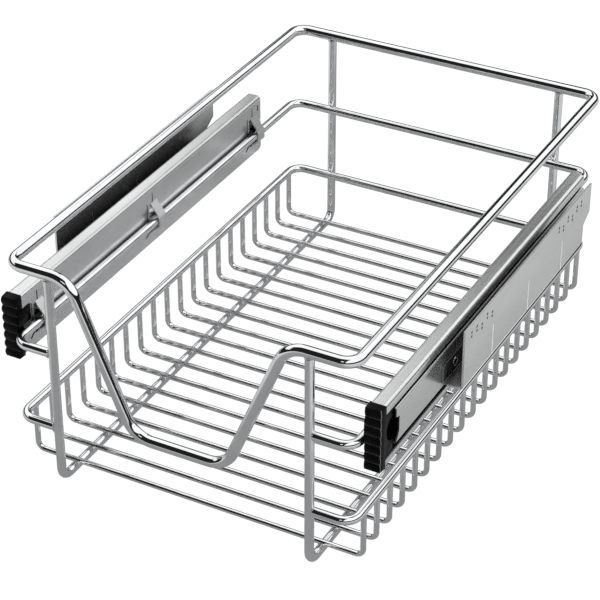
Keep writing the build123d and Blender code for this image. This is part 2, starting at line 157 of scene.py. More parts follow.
class ShapeSheet(NodeSheet):
    """A Geometry Nodes tree with named sizes, which ends in Realize Instances and Set Material."""

    SOCKETS = {float: "NodeSocketFloat", int: "NodeSocketInt", tuple: "NodeSocketVector"}

    def __init__(self, name: str, finish: Material, sizes: dict[str, float | int | tuple]) -> None:
        """Start the tree.

        Args:
            name: The tree's name.
            finish: The material of what it makes.
            sizes: Value of each named input, a length in metres or a count.
        """
        super().__init__(bpy.data.node_groups.new(name, "GeometryNodeTree"))
        self.values = {**sizes, "Finish": finish}
        self.input("Path", "NodeSocketGeometry")
        for label, value in sizes.items():
            self.input(label, self.SOCKETS[type(value)], value)
        self.input("Finish", "NodeSocketMaterial")
        self.tree.interface.new_socket(name="Piece", in_out="OUTPUT", socket_type="NodeSocketGeometry")
        self.given = self.add("NodeGroupInput")

    def size(self, label: str) -> NodeSocket:
        """The socket that carries a named input."""
        return self.given.outputs[label]

    def half(self, label: str) -> NodeSocket:
        """Half of a named size."""
        return self.math("MULTIPLY", self.size(label), 0.5)

    def wire(self) -> NodeSocket:
        """A round wire along the path, its corners bent to the radii in the attribute "bend"."""
        radius = self.add("GeometryNodeInputNamedAttribute", {"Name": "bend"}, data_type="FLOAT")
        line = self.add("GeometryNodeMeshToCurve", {"Mesh": self.size("Path")})
        bends = {"Count": self.size("Bend steps"), "Radius": radius.outputs[0], "Limit Radius": True}
        curve = self.add("GeometryNodeFilletCurve", {"Curve": line.outputs[0], **bends}, mode="POLY")
        ring = self.add(
            "GeometryNodeCurvePrimitiveCircle",
            {"Resolution": self.size("Sides"), "Radius": self.half("Wire diameter")},
        )
        body = self.add(
            "GeometryNodeCurveToMesh",
            {"Curve": curve.outputs[0], "Profile Curve": ring.outputs[0], "Fill Caps": True},
        )
        return body.outputs[0]

    def row(self, part: NodeSocket) -> NodeSocket:
        """A part repeated in a straight row, from the input "First" on and by the input "Pitch"."""
        line = self.add(
            "GeometryNodeMeshLine",
            {"Count": self.size("Count"), "Start Location": self.size("First"), "Offset": self.size("Pitch")},
            mode="OFFSET",
        )
        parts = self.add("GeometryNodeInstanceOnPoints", {"Points": line.outputs[0], "Instance": part})
        return parts.outputs[0]

    def close(self, geometry: NodeSocket) -> None:
        """End the tree: smooth, realised and with its finish.

        Args:
            geometry: What the tree made.
        """
        smooth = self.add("GeometryNodeSetShadeSmooth", {"Geometry": geometry})
        real = self.add("GeometryNodeRealizeInstances", {"Geometry": smooth.outputs[0]})
        finish = self.add("GeometryNodeSetMaterial", {"Geometry": real.outputs[0], "Material": self.size("Finish")})
        self.add("NodeGroupOutput", {0: finish.outputs[0]})

    def shape(self, name: str, path: Mesh, changes: dict[str, float | int | tuple] | None = None) -> Object:
        """Run the tree on a path and keep the result as a plain mesh.

        Args:
            name: The piece's name.
            path: The mesh that the tree starts from.
            changes: Values that differ from the tree's own, by input name.

        Returns:
            The finished object, with no modifier left on it.
        """
        piece = link_piece(name, path)
        modifier = piece.modifiers.new("shape", "NODES")
        modifier.node_group = self.tree
        for label, value in {**self.values, **(changes or {})}.items():
            modifier[self.keys[label]] = value
        depsgraph = bpy.context.evaluated_depsgraph_get()
        made = bpy.data.meshes.new_from_object(piece.evaluated_get(depsgraph), depsgraph=depsgraph)
        piece.modifiers.remove(modifier)
        piece.data = made
        made.name = name
        made.set_sharp_from_angle(angle=SHARP_ANGLE)
        return piece


def wire_sheet(
    name: str,
    finish: Material,
    diameter: float,
    steps: int,
    sides: int,
    row: tuple[int, float, float] | None = None,
) -> ShapeSheet:
    """The tree of a bent wire, or of a row of equal ones along Y.

    Args:
        name: The tree's name.
        finish: The wire's material.
        diameter: Its diameter in millimetres.
        steps: Steps in each of its bends.
        sides: Facets round it.
        row: How many wires, and in millimetres the place of the first and the pitch.

    Returns:
        The tree.
    """
    sizes = {"Wire diameter": diameter * MM, "Bend steps": steps, "Sides": sides}
    if row:
        count, first, pitch = row
        sizes |= {"Count": count, "First": (0.0, first * MM, 0.0), "Pitch": (0.0, pitch * MM, 0.0)}
    sheet = ShapeSheet(name, finish, sizes)
    sheet.close(sheet.row(sheet.wire()) if row else sheet.wire())
    return sheet


def link_piece(name: str, mesh: Mesh) -> Object:
    """A new object at the origin.

    Args:
        name: Its name.
        mesh: Its mesh.

    Returns:
        The object, in the scene.
    """
    piece = bpy.data.objects.new(name, mesh)
    bpy.context.scene.collection.objects.link(piece)
    return piece


def path_mesh(points: list[Triple], bends: list[float] | None = None, closed: bool = False) -> Mesh:
    """A line through points, or loose points, in metres.

    Args:
        points: The points in millimetres.
        bends: Bend radius at each point, in millimetres. Without it the points stay loose.
        closed: Whether the last point joins the first.

    Returns:
        The mesh, with the bend radii in its attribute "bend".
    """
    mesh = bpy.data.meshes.new("path")
    runs = [(i, i + 1) for i in range(len(points) - 1)] if bends else []
    if closed:
        runs.append((len(points) - 1, 0))
    mesh.from_pydata([Vector(p) * MM for p in points], runs, [])
    if bends:
        radii = mesh.attributes.new("bend", "FLOAT", "POINT")
        radii.data.foreach_set("value", [b * MM for b in bends])
    return mesh


def mirrored(half: list[Triple]) -> list[Triple]:
    """A path that is symmetric across X, from its right half, which starts at the middle."""
    return [(-x, y, z) for x, y, z in reversed(half)] + half


# ---------------------------------------------------------------------------
# Finishes


class MaterialSheet(NodeSheet):
    """A material under construction, on the piece's own coordinates."""

    def __init__(self, name: str) -> None:
        """Start the material with no node in it.

        Args:
            name: The material's name.
        """
        self.material = bpy.data.materials.new(name)
        self.material.use_nodes = True
        super().__init__(self.material.node_tree)
        self.tree.nodes.clear()

    def place(self) -> NodeSocket:
        """The place on the piece, in its own coordinates."""
        return self.add("ShaderNodeTexCoord").outputs["Object"]

    def glow(self, strength: float | NodeSocket) -> Node:
        """White light of a given strength."""
        return self.add("ShaderNodeEmission", {"Color": WHITE, "Strength": strength})

    def end(self, shader: Node) -> Material:
        """Finish the material with its shader."""
        self.add("ShaderNodeOutputMaterial", {"Surface": shader.outputs[0]})
        return self.material


class Surface(MaterialSheet):
    """A procedural finish under construction."""

    NOISE_ENDS = (0.3, 0.7)
    TINT_ENDS = (0.35, 0.65)
    # ends and samples of the ambient occlusion that paints shade into gaps
    GAP_ENDS = (0.35, 0.85)
    GAP_SAMPLES = 12

    def grain(self, scale: Triple, detail: float = 4.0) -> NodeSocket:
        """Noise on the piece.

        Args:
            scale: How often it repeats along X, Y and Z, per metre.
            detail: How many finer layers it has.

        Returns:
            The noise value, 0 to 1.
        """
        mapping = self.add("ShaderNodeMapping", {"Vector": self.place(), "Scale": scale})
        noise = self.add("ShaderNodeTexNoise", {"Vector": mapping.outputs[0], "Scale": 1.0, "Detail": detail})
        return noise.outputs["Fac"]

    def tint(self, source: NodeSocket, low: tuple, high: tuple) -> NodeSocket:
        """A colour between two, led by noise.

        Args:
            source: The noise.
            low: Colour at its low end.
            high: Colour at its high end.

        Returns:
            The colour.
        """
        ramp = self.add("ShaderNodeValToRGB", {0: source})
        for stop, place, colour in zip(ramp.color_ramp.elements, self.TINT_ENDS, (low, high)):
            stop.position = place
            stop.color = (*colour, 1.0)
        return ramp.outputs[0]

    def sheltered(self, colour: NodeSocket, reach: float, deep: float) -> NodeSocket:
        """A colour that is darker in narrow gaps, by ambient occlusion: painted shade where little light reaches.

        Args:
            colour: The colour in the open.
            reach: How far across a gap counts, in metres.
            deep: Share of the colour left in the deepest gap.

        Returns:
            The colour.
        """
        # painted shade: ambient occlusion darkens the colour in narrow gaps
        gap = self.add("ShaderNodeAmbientOcclusion", {"Distance": reach}, samples=self.GAP_SAMPLES)
        share = self.ranged(gap.outputs["AO"], self.GAP_ENDS, (deep, 1.0))
        return self.add("ShaderNodeVectorMath", {0: colour, "Scale": share}, operation="SCALE").outputs[0]

    def coat(
        self,
        colour: NodeSocket,
        roughness: tuple,
        sheen: NodeSocket,
        height: NodeSocket,
        depth: float,
        **more: float,
    ) -> Material:
        """Finish the material with its one shader.

        Args:
            colour: Its colour.
            roughness: The roughness at both ends of the sheen.
            sheen: Noise that leads the roughness.
            height: The relief, 0 to 1.
            depth: The relief's depth in metres.
            **more: Other values of the shader, by name with _ for a space.

        Returns:
            The material.
        """
        bump = self.add("ShaderNodeBump", {"Height": height, "Distance": depth, "Strength": 1.0})
        inputs = {
            "Base Color": colour,
            "Roughness": self.ranged(sheen, self.NOISE_ENDS, roughness),
            "Normal": bump.outputs[0],
        }
        inputs |= {name.replace("_", " "): value for name, value in more.items()}
        return self.end(self.add("ShaderNodeBsdfPrincipled", inputs))


@dataclass(frozen=True)
class BrightChrome:
    """Chrome plate on polished wire: mirror bright, with the slight waves of drawn wire under it."""

    name: str = "bright_chrome"
    dull: tuple = (0.80, 0.81, 0.82)
    clear: tuple = (0.90, 0.91, 0.92)
    haze_scale: tuple = (60, 60, 60)
    wave_scale: tuple = (140, 140, 140)
    wave_depth: float = 0.00002
    roughness: tuple = (0.02, 0.045)

    def material(self) -> Material:
        """The chrome as a material."""
        surface = Surface(self.name)
        haze = surface.grain(self.haze_scale)
        wave = surface.grain(self.wave_scale, 2.0)
        colour = surface.tint(haze, self.dull, self.clear)
        return surface.coat(colour, self.roughness, haze, wave, self.wave_depth, Metallic=1.0)


@dataclass(frozen=True)
class SatinZinc:
    """Zinc plate on rolled sheet: satin, with fine lines along the sheet, cloudy passivation and painted shade in
    its gaps.
    """

    name: str = "satin_zinc"
    dark: tuple = (0.68, 0.685, 0.69)
    light: tuple = (0.78, 0.785, 0.79)
    cloud_scale: tuple = (26, 9, 26)
    line_scale: tuple = (700, 10, 700)
    line_depth: float = 0.000002
    roughness: tuple = (0.20, 0.27)
    metal: float = 0.88
    # reach and darkest share of the painted shade in gaps
    gap_reach: float = 0.022
    gap_tone: float = 0.03

    def material(self) -> Material:
        """The zinc as a material."""
        surface = Surface(self.name)
        clouds = surface.grain(self.cloud_scale, 5.0)
        lines = surface.grain(self.line_scale, 2.0)
        plate = surface.tint(clouds, self.dark, self.light)
        # painted shade: the plate's colour darkened in gaps
        colour = surface.sheltered(plate, self.gap_reach, self.gap_tone)
        return surface.coat(colour, self.roughness, lines, lines, self.line_depth, Metallic=self.metal)


@dataclass(frozen=True)
class PolishedSteel:
    """Bare hard steel of balls, cages and rivets, with a turned sheen."""

    name: str = "polished_steel"
    dark: tuple = (0.60, 0.60, 0.61)
    light: tuple = (0.78, 0.78, 0.79)
    speckle_scale: tuple = (700, 700, 700)
    speckle_depth: float = 0.00001
    roughness: tuple = (0.10, 0.22)

    def material(self) -> Material:
        """The steel as a material."""
        surface = Surface(self.name)
        speckle = surface.grain(self.speckle_scale, 3.0)
        colour = surface.tint(speckle, self.dark, self.light)
        return surface.coat(colour, self.roughness, speckle, speckle, self.speckle_depth, Metallic=1.0)


@dataclass(frozen=True)
class BlackNylon:
    """Moulded black plastic with a fine eroded grain."""

    name: str = "black_nylon"
    deep: tuple = (0.001, 0.001, 0.0012)
    worn: tuple = (0.003, 0.003, 0.0032)
    roughness: tuple = (0.24, 0.34)
    grain_scale: tuple = (1600, 1600, 1600)
    grain_depth: float = 0.000004
    cloud_scale: tuple = (90, 90, 90)
    refraction: float = 1.46
    gloss: float = 0.06

    def material(self) -> Material:
        """The plastic as a material."""
        surface = Surface(self.name)
        grain = surface.grain(self.grain_scale, 2.0)
        colour = surface.tint(surface.grain(self.cloud_scale, 3.0), self.deep, self.worn)
        gloss = {"IOR": self.refraction, "Specular_IOR_Level": self.gloss}
        return surface.coat(colour, self.roughness, grain, grain, self.grain_depth, **gloss)


@dataclass(frozen=True)
class CutEdge:
    """The lip of a punched slot: near white as a painted highlight, and matt."""

    name: str = "cut_edge"
    # near white: a painted highlight on the slot's lip
    dark: tuple = (0.93, 0.93, 0.93)
    light: tuple = (0.99, 0.99, 0.99)
    burr_scale: tuple = (900, 900, 200)
    burr_depth: float = 0.00001
    roughness: tuple = (0.45, 0.6)
    metal: float = 0.1

    def material(self) -> Material:
        """The lip as a material."""
        surface = Surface(self.name)
        burr = surface.grain(self.burr_scale, 2.0)
        colour = surface.tint(burr, self.dark, self.light)
        return surface.coat(colour, self.roughness, burr, burr, self.burr_depth, Metallic=self.metal)


@dataclass(frozen=True)
class Finishes:
    """The finishes of the unit: one for each material slot, a zinc with less painted shade for open sheet, and
    painted highlights on nylon and slot lip.
    """

    chrome: Material
    zinc: Material
    open_zinc: Material
    steel: Material
    plastic: Material
    rubbed: Material
    edge: Material

    @classmethod
    def mixed(cls) -> "Finishes":
        """Make the finishes."""
        # grey nylon: a painted highlight on the cap's upward ledges and outer edge
        rubbed = BlackNylon("rubbed_nylon", (0.10, 0.10, 0.10), (0.18, 0.18, 0.18), (0.4, 0.5), gloss=0.5)
        return cls(
            BrightChrome().material(),
            SatinZinc().material(),
            # zinc of the outer member, with painted shade of short reach in its gaps
            SatinZinc("open_zinc", gap_reach=0.004, gap_tone=0.3).material(),
            PolishedSteel().material(),
            BlackNylon().material(),
            rubbed.material(),
            CutEdge().material(),
        )


# ---------------------------------------------------------------------------
# Basket


@dataclass
class WireBasket:
    """The welded basket: rim, two rails, two frame wires, the floor's cross wires and the weld beads."""

    finishes: Finishes
    rim_wire: float = 8.8
    frame_wire: float = 7.0
    cross_wire: float = 4.3
    front: float = -220.0
    rear: float = 220.0
    rail_rear: float = 213.0
    side: float = 138.1
    frame_side: float = 104.7
    floor_height: float = 3.5
    lower_height: float = 50.6
    mid_height: float = 115.9
    rim_height: float = 183.8
    corner_bend: float = 11.5
    frame_bend: float = 10.0
    dip_top: float = 87.2
    dip_bottom: float = 38.0
    dip_floor: float = 65.2
    dip_bend: float = 22.0
    cross_count: int = 20
    cross_inset: float = 18.8
    cross_bend: float = 6.0
    cross_height: float = 8.9
    set_in: float = 0.25
    bend_steps: int = 14
    sides: int = 28
    thin_bend_steps: int = 8
    thin_sides: int = 18
    bead_segments: int = 12
    bead_rings: int = 7
    bead_unevenness: float = 0.18
    bead_seed: int = 7
    pieces: list[Object] = field(default_factory=list)

    def wires(self) -> dict[str, tuple[list, list, float, bool]]:
        """Path, bends, diameter and whether closed, for each thick wire by the name of its CAD node."""
        corner, dip = self.corner_bend, self.dip_bend
        run = [
            (self.dip_bottom, self.front, self.dip_floor),
            (self.dip_top, self.front, self.rim_height),
            (self.side, self.front, self.rim_height),
        ]
        rim = mirrored(run) + [(self.side, self.rear, self.rim_height), (-self.side, self.rear, self.rim_height)]
        made = {"top_rim": (rim, [corner] + 4 * [dip] + 3 * [corner], self.rim_wire, True)}
        end = self.frame_side + self.frame_wire / 2 - self.set_in
        for name, height in (("mid_rail", self.mid_height), ("lower_rail", self.lower_height)):
            rail = [(self.side, self.rail_rear, height), (self.side, self.front, height), (end, self.front, height)]
            made[name] = (mirrored(rail), [0] + 4 * [corner] + [0], self.frame_wire, False)
        top = self.rim_height - self.rim_wire / 2 + self.set_in
        for side in Side:
            across = side.value * self.frame_side
            upright = [
                (across, self.front, top),
                (across, self.front, self.floor_height),
                (across, self.rear, self.floor_height),
                (across, self.rear, top),
            ]
            bends = [0, self.frame_bend, self.frame_bend, 0]
            made[f"frame_wire_{side.word}"] = (upright, bends, self.frame_wire, False)
        return made

    def build_wires(self) -> None:
        """Draw the rim, the rails and the frame wires."""
        sheet = wire_sheet("bent wire", self.finishes.chrome, self.frame_wire, self.bend_steps, self.sides)
        for node, (points, bends, diameter, closed) in self.wires().items():
            path = path_mesh(points, bends, closed)
            self.finish_piece(sheet.shape(f"{node}_wire", path, {"Wire diameter": diameter * MM}), [node])

    def build_floor(self) -> None:
        """Draw one cross wire and repeat it along the basket."""
        sheet = wire_sheet(
            "floor wires",
            self.finishes.chrome,
            self.cross_wire,
            self.thin_bend_steps,
            self.thin_sides,
            (self.cross_count, self.front + self.cross_inset, self.cross_pitch),
        )
        top = self.lower_height - self.frame_wire / 2 + self.set_in
        path = mirrored([(self.side, 0, self.cross_height), (self.side, 0, top)])
        piece = sheet.shape("floor_wires", path_mesh(path, [0, self.cross_bend, self.cross_bend, 0]))
        self.finish_piece(piece, [f"cross_wire_{i + 1:02}" for i in range(self.cross_count)])

    @property
    def cross_pitch(self) -> float:
        """Distance from one cross wire to the next."""
        return (self.rear - self.front - 2 * self.cross_inset) / (self.cross_count - 1)

    def build_welds(self) -> None:
        """Set a small bead of weld metal at every place where two wires are joined."""
        sheet = ShapeSheet(
            "weld beads",
            self.finishes.chrome,
            {"Bead": (1.0, 1.0, 1.0), "Uneven": self.bead_unevenness, "Seed": self.bead_seed},
        )
        ball = sheet.add(
            "GeometryNodeMeshUVSphere",
            {"Segments": self.bead_segments, "Rings": self.bead_rings, "Radius": 1.0},
        )
        spread = sheet.add("FunctionNodeRandomValue", {"Seed": sheet.size("Seed")}, data_type="FLOAT")
        uneven = sheet.math("MULTIPLY_ADD", spread.outputs[1], sheet.size("Uneven"), 1.0)
        scale = sheet.add("ShaderNodeVectorMath", {0: sheet.size("Bead"), "Scale": uneven}, operation="SCALE")
        beads = sheet.add(
            "GeometryNodeInstanceOnPoints",
            {"Points": sheet.size("Path"), "Instance": ball.outputs[0], "Scale": scale.outputs[0]},
        )
        sheet.close(beads.outputs[0])
        for name, (points, bead) in self.weld_places().items():
            piece = sheet.shape(name, path_mesh(points), {"Bead": tuple(b * MM for b in bead)})
            self.finish_piece(piece, [])

    def weld_places(self) -> dict[str, tuple[list, Triple]]:
        """Places and half sizes of the beads, by the name of their piece."""
        rows = [self.front + self.cross_inset + i * self.cross_pitch for i in range(self.cross_count)]
        low = (self.floor_height + self.frame_wire / 2 + self.cross_height - self.cross_wire / 2) / 2
        floor = [(s.value * self.frame_side, y, low) for s in Side for y in rows]
        top = self.lower_height - self.frame_wire / 2
        ends = [(s.value * self.side, y, top) for s in Side for y in rows]
        butt = self.frame_side + self.frame_wire / 2
        rails = [(s.value * butt, self.front, z) for s in Side for z in (self.mid_height, self.lower_height)]
        backs = [
            (s.value * self.frame_side, self.rear - self.frame_wire / 2, z)
            for s in Side
            for z in (self.mid_height, self.lower_height)
        ]
        under = self.rim_height - self.rim_wire / 2
        posts = [(s.value * self.frame_side, y, under) for s in Side for y in (self.front, self.rear)]
        return {
            "floor_welds": (floor, (1.7, 1.5, 0.7)),
            "cross_end_welds": (ends, (2.4, 2.4, 0.8)),
            "rail_end_welds": (rails, (1.0, 3.6, 3.6)),
            "rear_rail_welds": (backs, (2.6, 0.9, 2.4)),
            "upright_welds": (posts, (3.9, 3.9, 1.1)),
        }

    def finish_piece(self, piece: Object, nodes: list[str]) -> None:
        """Let a piece of wire ride on the basket.

        Args:
            piece: The piece.
            nodes: CAD nodes that it stands for.
        """
        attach(piece, BASKET_BODY)
        if nodes:
            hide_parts(*nodes)
        self.pieces.append(piece)

    def build(self) -> list[Object]:
        """Build the whole basket.

        Returns:
            Its pieces.
        """
        self.build_wires()
        self.build_floor()
        self.build_welds()
        return self.pieces


# ---------------------------------------------------------------------------
# Plastic pieces of the slides


def drawn_block(name: str, outline: list[tuple[float, float]], inner: float, outer: float, edge: float) -> Object:
    """A block with its outline in the Y-Z plane, drawn out along X and with eased edges.

    Args:
        name: The piece's name.
        outline: Corners (Y, Z) in millimetres.
        inner: X of one face, in millimetres.
        outer: X of the other face, in millimetres.
        edge: Width of the eased edge in millimetres.

    Returns:
        The object.
    """
    mesh = bpy.data.meshes.new(name)
    form = bmesh.new()
    ring = [form.verts.new(Vector((inner, y, z)) * MM) for y, z in outline]
    face = form.faces.new(ring)
    drawn = bmesh.ops.extrude_face_region(form, geom=[face])["geom"]
    moved = [v for v in drawn if isinstance(v, bmesh.types.BMVert)]
    bmesh.ops.translate(form, verts=moved, vec=Vector((outer - inner, 0, 0)) * MM)
    bmesh.ops.recalc_face_normals(form, faces=form.faces)
    rims = [e for e in form.edges if abs((e.verts[0].co - e.verts[1].co).x) < LEVEL]
    easing = {"offset": edge * MM, "segments": EASED_STEPS, "profile": ROUND_PROFILE}
    bmesh.ops.bevel(form, geom=rims, affect="EDGES", **easing)
    bmesh.ops.recalc_face_normals(form, faces=form.faces)
    form.to_mesh(mesh)
    form.free()
    mesh.shade_smooth()
    mesh.set_sharp_from_angle(angle=SHARP_ANGLE)
    return link_piece(name, mesh)


def joined(name: str, parts: list[Object], finish: Material) -> Object:
    """Several meshes as one piece.

    Args:
        name: The piece's name.
        parts: The objects, which are used up.
        finish: Their material.

    Returns:
        The one object.
    """
    form = bmesh.new()
    for part in parts:
        form.from_mesh(part.data)
        bpy.data.objects.remove(part)
    mesh = bpy.data.meshes.new(name)
    form.to_mesh(mesh)
    form.free()
    mesh.materials.append(finish)
    mesh.set_sharp_from_angle(angle=SHARP_ANGLE)
    return link_piece(name, mesh)


@dataclass
class SlideEnds:
    """The black plastic at the front of one slide: the scalloped end cap and the stop behind it."""

    side: Side
    finishes: Finishes
    inside: float = 141.65
    outside: float = 154.65
    front: float = -203.0
    centre: float = 119.5
    height: float = 52.4
    depth: float = 7.0
    ribs: int = 7
    bulge: float = 1.0
    groove: float = 0.5
    ledge: float = 0.4
    hollow: float = 0.8
    clip_length: float = 9.0
    clip_bottom: float = 120.4
    clip_height: float = 13.5
    clip_thickness: float = 0.8
    rib_parts: int = 8
    rib_share: float = 0.93
    cap_edge: float = 0.35
    # how far the grey painted highlight reaches from the cap's front and top, and how wide it is at the outer edge
    rubbed_depth: float = 1.0
    rubbed_width: float = 0.4
    ledge_tilt: float = 0.7
    arris_tilt: tuple = (0.2, 0.95)
    flute_depth: float = 0.6
    flute_width: float = 0.5
    clip_edge: float = 0.25
    stop_half: float = 22.8
    stop_depth: float = 14.0
    stop_waist: float = 10.0
    waist_parts: int = 16
    stop_inset: float = 1.35
    stop_outset: float = 1.6
    stop_edge: float = 0.3

    def scallops(self) -> list[tuple[float, float]]:
        """Outline of the cap: a flat back and a front of round ribs with a groove between each two."""
        bottom = self.centre - self.height / 2
        step = self.height / self.ribs
        face = self.front - self.depth
        outline = [(self.front, bottom), (self.front, bottom + self.height)]
        for rib in reversed(range(self.ribs)):
            low = bottom + rib * step
            outline.append((face + self.groove, low + step))
            for part in range(self.rib_parts + 1):
                turn = part / self.rib_parts
                reach = self.ledge + (self.bulge - self.ledge) * math.sin(math.pi * turn)
                outline.append((face - reach, low + step * (1 - self.rib_share * turn)))
        outline.append((face + self.groove, bottom))
        return outline[:-1]

    def build_cap(self) -> Object:
        """The cap with its clip on the web, its ridges and its outer edge in lighter grey as a painted highlight."""
        web = self.across(self.inside)
        body = drawn_block("cap_body", self.scallops(), web, self.across(self.outside), self.cap_edge)
        near, far = self.front - self.depth, self.front + self.clip_length
        low, high = self.clip_bottom, self.clip_bottom + self.clip_height
        tongue = [(near, low), (far, low), (far, high), (near, high)]
        clip = drawn_block("cap_clip", tongue, web, self.across(self.inside - self.clip_thickness), self.clip_edge)
        self.flute(body.data)
        cap = joined(f"scalloped_cap_{self.side.word}", [body, clip], self.finishes.plastic)
        cap.data.materials.append(self.finishes.rubbed)
        front = (self.front - self.depth + self.rubbed_depth) * MM
        top = (self.centre + self.height / 2 - self.rubbed_depth) * MM
        rim = (self.outside - self.hollow - self.rubbed_width) * MM
        least, most = self.arris_tilt
        # painted highlight: near the front, faces that face up below the top or lie on the outer edge turn grey
        for face in cap.data.polygons:
            ledge = face.normal.z > self.ledge_tilt and face.center.z < top
            arris = abs(face.center.x) > rim and least < abs(face.normal.x) < most
            if face.center.y < front and (ledge or arris):
                face.material_index = 1
        return cap

    def flute(self, mesh: Mesh) -> None:
        """Carry the ribs round the cap's outer side, as hollows between them.

        Args:
            mesh: The cap's mesh.
        """
        bottom, step = self.centre - self.height / 2, self.height / self.ribs
        front = self.front - self.depth + self.flute_depth
        for vertex in mesh.vertices:
            across, along, up = vertex.co / MM
            if abs(across) > self.outside - self.flute_width and along < front:
                turn = ((up - bottom) / step) % 1.0
                vertex.co.x -= self.side.value * self.hollow * (1 - math.sin(math.pi * turn)) * MM

    def build_stop(self) -> Object:
        """The stop: a block inside the member's front end, with a round waist in its rear."""
        low, high, back = self.centre - self.stop_half, self.centre + self.stop_half, self.front + self.stop_depth
        outline = [(self.front, low), (self.front, high), (back, high)]
        for part in range(self.waist_parts + 1):
            angle = math.radians(90 - 180 * part / self.waist_parts)
            waist = self.stop_waist
            outline.append((back - waist * math.cos(angle), self.centre + waist * math.sin(angle)))
        outline.append((back, low))
        near, far = self.across(self.inside + self.stop_inset), self.across(self.outside - self.stop_outset)
        block = drawn_block("stop_body", outline, near, far, self.stop_edge)
        return joined(f"slide_stop_{self.side.word}_moulded", [block], self.finishes.plastic)

    def across(self, value: float) -> float:
        """A place along X on this side."""
        return self.side.value * value

    def build(self) -> list[Object]:
        """Build both pieces and let them ride on the basket.

        Returns:
            The pieces.
        """
        pieces = [self.build_cap(), self.build_stop()]
        for piece, node in zip(pieces, ("end_cap", "slide_stop")):
            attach(piece, BASKET_BODY)
            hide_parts(f"{node}_{self.side.word}")
        return pieces


# ---------------------------------------------------------------------------
# Rivets and slot lips


@dataclass
class BracketRivets:
    """The three rivets of one side, through the bracket's leg and the slide's inner member."""

    side: Side
    finishes: Finishes
    member: float = 154.95
    height: float = 117.75
    middle: float = 6.0
    pitch: float = 100.0
    count: int = 3
    head: float = 7.0
    head_height: float = 1.4
    shank: float = 4.0
    tail: float = 6.0
    tail_height: float = 0.9
    member_sheet: float = 1.2
    bracket_sheet: float = 1.5
    sides: int = 32

    def sheet(self) -> ShapeSheet:
        """The tree that makes one rivet and repeats it along the slide."""
        sheet = ShapeSheet(
            "rivets",
            self.finishes.steel,
            {
                "Head": self.head * MM,
                "Head height": self.head_height * MM,
                "Shank": self.shank * MM,
                "Shank length": (self.member_sheet + self.bracket_sheet) * MM,
                "Tail": self.tail * MM,
                "Tail height": self.tail_height * MM,
            },
        )
        shank = {"Vertices": self.sides, "Radius": sheet.half("Shank"), "Depth": sheet.size("Shank length")}
        body = sheet.add("GeometryNodeMeshCylinder", shank)
        ball = {"Segments": self.sides, "Rings": self.sides // 2, "Radius": sheet.half("Head")}
        dome = sheet.add("GeometryNodeMeshUVSphere", ball)
        flat = sheet.math("DIVIDE", sheet.size("Head height"), sheet.half("Head"))
        squash = sheet.add("ShaderNodeCombineXYZ", {0: 1.0, 1: 1.0, 2: flat})
        lift = sheet.add("ShaderNodeCombineXYZ", {2: sheet.half("Shank length")})
        head = sheet.add(
            "GeometryNodeTransform",
            {"Geometry": dome.outputs[0], "Scale": squash.outputs[0], "Translation": lift.outputs[0]},
        )
        upset = sheet.add(
            "GeometryNodeMeshCone",
            {
                "Vertices": self.sides,
                "Radius Top": sheet.half("Tail"),
                "Radius Bottom": sheet.half("Shank"),
                "Depth": sheet.size("Tail height"),
            },
        )
        drop = sheet.math("ADD", sheet.half("Shank length"), sheet.size("Tail height"))
        low = sheet.add("ShaderNodeCombineXYZ", {2: sheet.math("MULTIPLY", drop, -1.0)})
        tail = sheet.add("GeometryNodeTransform", {"Geometry": upset.outputs[0], "Translation": low.outputs[0]})
        rivet = sheet.add("GeometryNodeJoinGeometry")
        for part in (body, head, tail):
            sheet.tree.links.new(part.outputs[0], rivet.inputs[0])
        turn = sheet.add("FunctionNodeInputVector")
        turn.vector = (0, math.radians(90 * self.side.value), 0)
        row = sheet.add(
            "GeometryNodeInstanceOnPoints",
            {"Points": sheet.size("Path"), "Instance": rivet.outputs[0], "Rotation": turn.outputs[0]},
        )
        sheet.close(row.outputs[0])
        return sheet

    def build(self) -> list[Object]:
        """Build the rivets and let them ride on the cabinet side.

        Returns:
            The one piece.
        """
        across = self.member + (self.bracket_sheet - self.member_sheet) / 2
        places = [
            (self.side.value * across, self.middle + (i - (self.count - 1) / 2) * self.pitch, self.height)
            for i in range(self.count)
        ]
        piece = self.sheet().shape(f"domed_rivets_{self.side.word}", path_mesh(places))
        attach(piece, CABINET_BODY)
        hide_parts(f"bracket_rivets_{self.side.word}")
        return [piece]


@dataclass
class SlotLips:
    """The turned lips of the three narrow slots in one bracket's outer wall, near white as a painted highlight."""

    side: Side
    finishes: Finishes
    outside: float = 171.85
    middle: float = 3.3
    pitch: float = 66.0
    count: int = 3
    low: float = 110.0
    length: float = 27.0
    slot: float = 1.6
    lip: float = 0.75
    bend_share: float = 0.98
    bend_steps: int = 6
    sides: int = 10

    def build(self) -> list[Object]:
        """Draw one lip round a slot and repeat it along the bracket.

        Returns:
            The one piece.
        """
        first = self.middle - (self.count - 1) / 2 * self.pitch
        row = (self.count, first, self.pitch)
        # the lips take the near-white finish, a painted highlight
        sheet = wire_sheet("slot lips", self.finishes.edge, self.lip, self.bend_steps, self.sides, row)
        across = self.side.value * (self.outside - self.lip / 2)
        half = (self.slot - self.lip) / 2
        top = self.low + self.length - self.lip / 2
        outline = [
            (across, -half, self.low + self.lip / 2),
            (across, half, self.low + self.lip / 2),
            (across, half, top),
            (across, -half, top),
        ]
        path = path_mesh(outline, 4 * [half * self.bend_share], closed=True)
        piece = sheet.shape(f"slot_lips_{self.side.word}", path)
        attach(piece, CABINET_BODY)
        return [piece]


# ---------------------------------------------------------------------------
# CAD nodes that keep their shape


